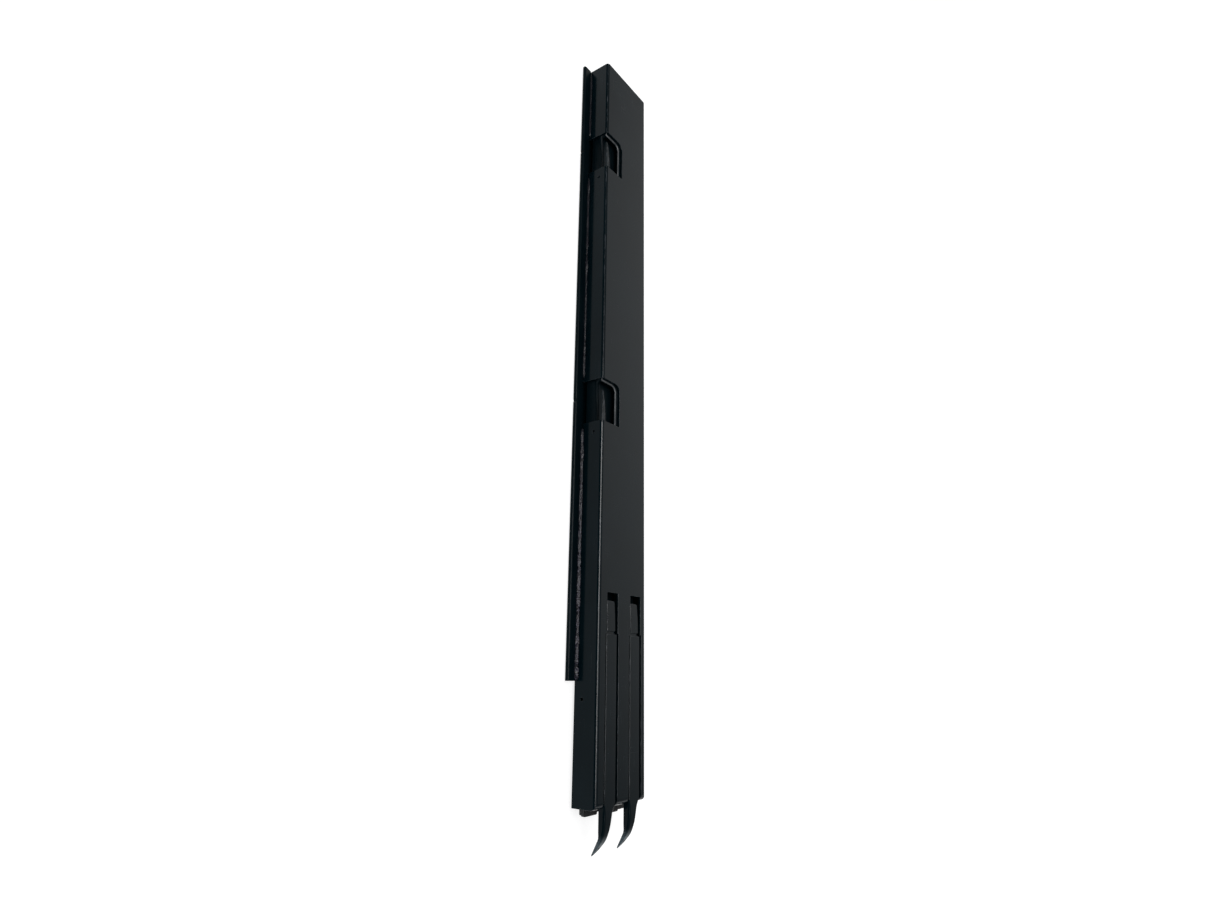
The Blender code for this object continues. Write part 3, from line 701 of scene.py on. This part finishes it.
def ball_row(prefix, materials):
    """Smooth balls, and on each side a cage strip with round pockets and slots between them."""
    cage_material, steel = materials
    for word in ("left", "right"):
        cage = f"{prefix}_ball_cage_{word}"
        low, high = [TO_FRAME.inverted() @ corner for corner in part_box(cage)]
        middle = (low + high) / 2
        strip = extruded(rounded([(low.y, low.z, 1.2), (high.y, low.z, 1.2), (high.y, high.z, 1.2),
                                  (low.y, high.z, 1.2)], 5), low.x, high.x, "X")
        for number in range(1, BALLS_PER_ROW + 1):
            name = f"{prefix}_ball_{word}_{number}"
            near, far = [TO_FRAME.inverted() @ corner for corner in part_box(name)]
            centre = (near + far) / 2
            cut(strip, rod(centre, BALL_R + GAP, 4, "X"))
            bm = bmesh.new()
            bmesh.ops.create_icosphere(bm, subdivisions=4, radius=BALL_R,
                                       matrix=Matrix.Translation(centre))
            piece(shape(bm), name + "_ground", [name], [steel], 0)
            if number < BALLS_PER_ROW:
                between = Vector((middle.x, centre.y + BALL_PITCH / 2, middle.z))
                slot = block((between.x - 2, between.y - 3, between.z - 0.5),
                             (between.x + 2, between.y + 3, between.z + 0.5))
                cut(strip, slot)
        piece(strip, cage + "_moulded", [cage], [cage_material], 0.15)


def front_bumper(rubber):
    """Moulded stop on the intermediate rail's front end, with three pads."""
    bar = DRAWER_LEG_IN - 0.6
    plug = MID_LEG_IN - GAP
    half = [(8.4, -3.0, 0), (8.4, -6.6, 0.9), (bar, -6.6, 1.8), (bar, -0.4, 0.4), (plug, -0.4, 0),
            (plug, 12, 0.8)]
    bumper = extruded(rounded(mirrored(half), 5), 5.4, 7.8, "Z")
    joined(bumper, block((-5.5, -6.3, 6), (6.5, -1, 11.8), 1.0))
    for side in (-1, 1):
        inner, outer = sorted((side * 8.8, side * 19.1))
        joined(bumper, block((inner, -6.3, 2.8), (outer, -1, 6), 0.9))
    piece(bumper, "intermediate_front_bumper_moulded", ["intermediate_front_bumper"],
          [rubber], 0.4)


def stop_block(node, material, edge):
    """A stop with weld dimples in its top and a lightening slot through its middle."""
    low, high = [TO_FRAME.inverted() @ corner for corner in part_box(node)]
    middle = (low + high) / 2
    reach = (high.x - low.x) / 2
    stop = block(low, high, 0.8)
    for side in (-1, 1):
        cut(stop, rod((side * reach * 0.55, middle.y, high.z), min(1.2, reach * 0.25), 0.6, "Z"))
    cut(stop, block((-reach * 0.2, middle.y - 1, low.z - 1), (reach * 0.2, middle.y + 1, high.z + 1),
                    0.4))
    piece(stop, node + "_formed", [node], [material], edge)


def grease_bead(number, start, end, size, material):
    """A lumpy fillet of old grease along the hem, beside the channel's wall."""
    origin = (-HALF_WIDTH - 0.12, HEM_TOP + 0.02)
    pace = 0.45
    around = 7
    count = int((end - start) / pace)
    rings = []
    for step in range(count + 1):
        at = start + pace * step
        ends = min(1.0, (at - start) / 2.5, (end - at) / 2.5 + 0.02)
        swell = 0.82 + 0.5 * noise.noise(Vector((at * 0.11, 3.1, 0)))
        body = size * math.sqrt(max(0.03, ends)) * swell
        ring = [(origin[0], at, origin[1])]
        for spoke in range(around):
            turn = math.pi / 2 * spoke / (around - 1)
            lump = 1 + 0.30 * noise.noise(Vector((at * 0.9, turn * 2.2, 7.7)))
            reach = max(0.15, body * lump * (1 - 0.22 * math.sin(2 * turn)))
            ring.append((origin[0] - reach * math.cos(turn), at,
                         origin[1] + reach * math.sin(turn)))
        rings.append(ring)
    bead = lofted(rings)
    bead.name = f"grease_bead_{number}"
    bead.data.transform(TO_FRAME)
    bead.data.materials.append(material)
    bead.data.shade_smooth()
    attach(bead, BODY_OF["cabinet_mounting_plate"])


# ---------------------------------------------------------------- studio

def camera():
    """Stands at the slide's side, rolled so that the slide hangs upright in the picture."""
    data = bpy.data.cameras.new("camera")
    data.sensor_width = 36
    data.lens = CAMERA_LENS
    data.clip_start = 0.01
    data.clip_end = 50
    cam = bpy.data.objects.new("camera", data)
    bpy.context.scene.collection.objects.link(cam)
    at = Vector(CAMERA_AT) * MM
    look = (Vector(CAMERA_AIM) * MM - at).normalized()
    right = look.cross(Vector((0, 0, 1))).normalized()
    up = right.cross(look)
    level = Matrix((right, up, -look)).transposed().to_4x4()
    cam.matrix_world = (Matrix.Translation(at) @ level
                        @ Matrix.Rotation(math.radians(CAMERA_ROLL), 4, "Z"))
    bpy.context.scene.camera = cam


def paper_sweep():
    """White paper: a floor that curves up behind the slide, far away."""
    recipe = Recipe("white_paper", specular=0.05)
    tooth = recipe.noise(recipe.scaled((1, 1, 1)), 1.5, 2)
    recipe.bump(tooth, 0.05, 0.02)
    material = recipe.finish(recipe.mix(tooth, (0.36, 0.36, 0.36), (0.38, 0.38, 0.38)), 0.9)
    recipe.shader.inputs["Emission Color"].default_value = (1, 1, 1, 1)
    recipe.shader.inputs["Emission Strength"].default_value = 0.80
    reach = 16.0
    bend_at = 3.0
    bend_r = 0.8
    wall_top = 1.2
    steps = 16
    line = [(-reach, 0.0)]
    for step in range(steps + 1):
        turn = math.pi / 2 * step / steps
        line.append((bend_at + bend_r * math.sin(turn), bend_r * (1 - math.cos(turn))))
    line.append((bend_at + bend_r, wall_top))
    bm = bmesh.new()
    rows = [[bm.verts.new((x, y, z)) for x, z in line] for y in (-reach, reach)]
    for index in range(len(line) - 1):
        bm.faces.new((rows[0][index], rows[0][index + 1], rows[1][index + 1], rows[1][index]))
    sweep = shape(bm)
    sweep.name = "paper_sweep"
    sweep.data.materials.append(material)
    sweep.data.shade_smooth()


def light(name, at, size, power, diffuse):
    """A soft light; one that isn't diffuse only draws highlights."""
    data = bpy.data.lights.new(name, "AREA")
    data.shape = "RECTANGLE"
    data.size, data.size_y = size
    data.energy = power
    obj = bpy.data.objects.new(name, data)
    obj.location = at
    obj.rotation_euler = (-Vector(at)).to_track_quat("-Z", "Y").to_euler()
    obj.visible_diffuse = diffuse
    bpy.context.scene.collection.objects.link(obj)


def flag():
    """A low black card beside the slide, seen only in gloss: it draws the dark line along edges."""
    recipe = Recipe("black_card", specular=0.0)
    tooth = recipe.noise(recipe.scaled((1, 1, 1)), 0.5, 2)
    material = recipe.finish(recipe.mix(tooth, (0.004, 0.004, 0.004), (0.006, 0.006, 0.006)), 1.0)
    bm = bmesh.new()
    beside = -0.082
    reach = 1.2
    low = 0.001
    high = 0.066
    bm.faces.new([bm.verts.new((beside, y, z))
                  for y, z in ((-reach, low), (reach, low), (reach, high), (-reach, high))])
    card = shape(bm)
    card.name = "black_card"
    card.data.materials.append(material)
    card.visible_camera = False
    card.visible_diffuse = False
    card.visible_shadow = False


def studio():
    """World, key light and edge light: a soft glow ahead of the camera over a white horizon."""
    world = bpy.data.worlds.new("studio")
    world.use_nodes = True
    tree = world.node_tree
    place = tree.nodes.new("ShaderNodeTexCoord")
    facing = tree.nodes.new("ShaderNodeVectorMath")
    facing.operation = "DOT_PRODUCT"
    facing.inputs[1].default_value = Vector((0.78, 0.30, 0.55)).normalized()
    glow = tree.nodes.new("ShaderNodeMapRange")
    height = tree.nodes.new("ShaderNodeSeparateXYZ")
    horizon = tree.nodes.new("ShaderNodeMapRange")
    sky = 0.45
    for node, numbers in ((glow, (0.87, 1.0, sky, 1.5)), (horizon, (0.30, 0.36, 1.1, sky))):
        for socket, number in zip(("From Min", "From Max", "To Min", "To Max"), numbers):
            node.inputs[socket].default_value = number
    brighter = tree.nodes.new("ShaderNodeMath")
    brighter.operation = "MAXIMUM"
    tree.links.new(place.outputs["Generated"], facing.inputs[0])
    tree.links.new(facing.outputs["Value"], glow.inputs["Value"])
    tree.links.new(place.outputs["Generated"], height.inputs[0])
    tree.links.new(height.outputs["Z"], horizon.inputs["Value"])
    tree.links.new(glow.outputs["Result"], brighter.inputs[0])
    tree.links.new(horizon.outputs["Result"], brighter.inputs[1])
    tree.links.new(brighter.outputs[0], tree.nodes["Background"].inputs["Strength"])
    tree.nodes["Background"].inputs["Color"].default_value = (1, 1, 1, 1)
    bpy.context.scene.world = world
    bpy.context.scene.view_settings.view_transform = "Standard"
    light("key", (-0.6, 0.3, 2.4), size=(2.0, 2.0), power=18, diffuse=True)
    light("edge_light", (-1.0, 0.05, 1.5), size=(1.2, 0.8), power=40, diffuse=False)


def main():
    coat = black_coat("black_coat", wear_and_highlight=0.0, specular=0.078)
    # Lighter, glossier scuffed paint for rounded edges; on faces picked for facing the edge light it is
    # also a painted highlight.
    worn_and_highlit = black_coat("black_coat_edge", wear_and_highlight=0.35, specular=0.17)
    # Lever coat with a painted reflection on the fingers' ends
    lever_coat = black_coat("black_coat_lever", wear_and_highlight=0.0, specular=0.078, painted_tip_reflection=True)
    matt = black_coat("black_coat_inside", wear_and_highlight=0.0, specular=0.045, gloss=0.42)
    hem_coat = black_coat("black_coat_hem", wear_and_highlight=0.0, specular=0.05, gloss=0.30)
    rim = moulded("worn_rim", (0.055, 0.06, 0.065), (0.11, 0.115, 0.12), roughness=0.5, grain=4)
    zinc = plated("zinc_plate", (0.42, 0.43, 0.45), (0.26, 0.27, 0.28), roughness=0.28)
    ground = plated("bearing_steel", (0.66, 0.67, 0.69), (0.48, 0.48, 0.49), roughness=0.10,
                    grain=0.5)
    nylon = moulded("black_nylon", (0.010, 0.010, 0.011), (0.022, 0.022, 0.023), roughness=0.5,
                    grain=5)
    rubber = moulded("black_rubber", (0.006, 0.007, 0.008), (0.018, 0.019, 0.019), roughness=0.6,
                     grain=3)
    # Grease with glints painted into its colour
    grease_with_painted_glints = grease()

    drawer_channel([coat, worn_and_highlit])
    drawer_rail([matt, rim])
    for word, middle in LEVERS:
        release_lever(word, middle, [lever_coat, worn_and_highlit])
        lever_pivot(word, middle, zinc)
    intermediate_rail([matt, worn_and_highlit])
    mounting_plate([hem_coat, hem_coat])
    cabinet_rail([matt, worn_and_highlit])
    cabinet_rivets(zinc)
    for prefix in ("outer", "inner"):
        ball_row(prefix, (nylon, ground))
    front_bumper(rubber)
    stop_block("cabinet_rear_bumper", rubber, 0.6)
    for node in ("cabinet_front_stop", "intermediate_stop", "intermediate_front_stop", "drawer_stop"):
        stop_block(node, zinc, 0.25)
    for number, (start, end, size) in enumerate(GREASE_BEADS, start=1):
        grease_bead(number, start, end, size, grease_with_painted_glints)
    camera()
    paper_sweep()
    flag()
    studio()


main()
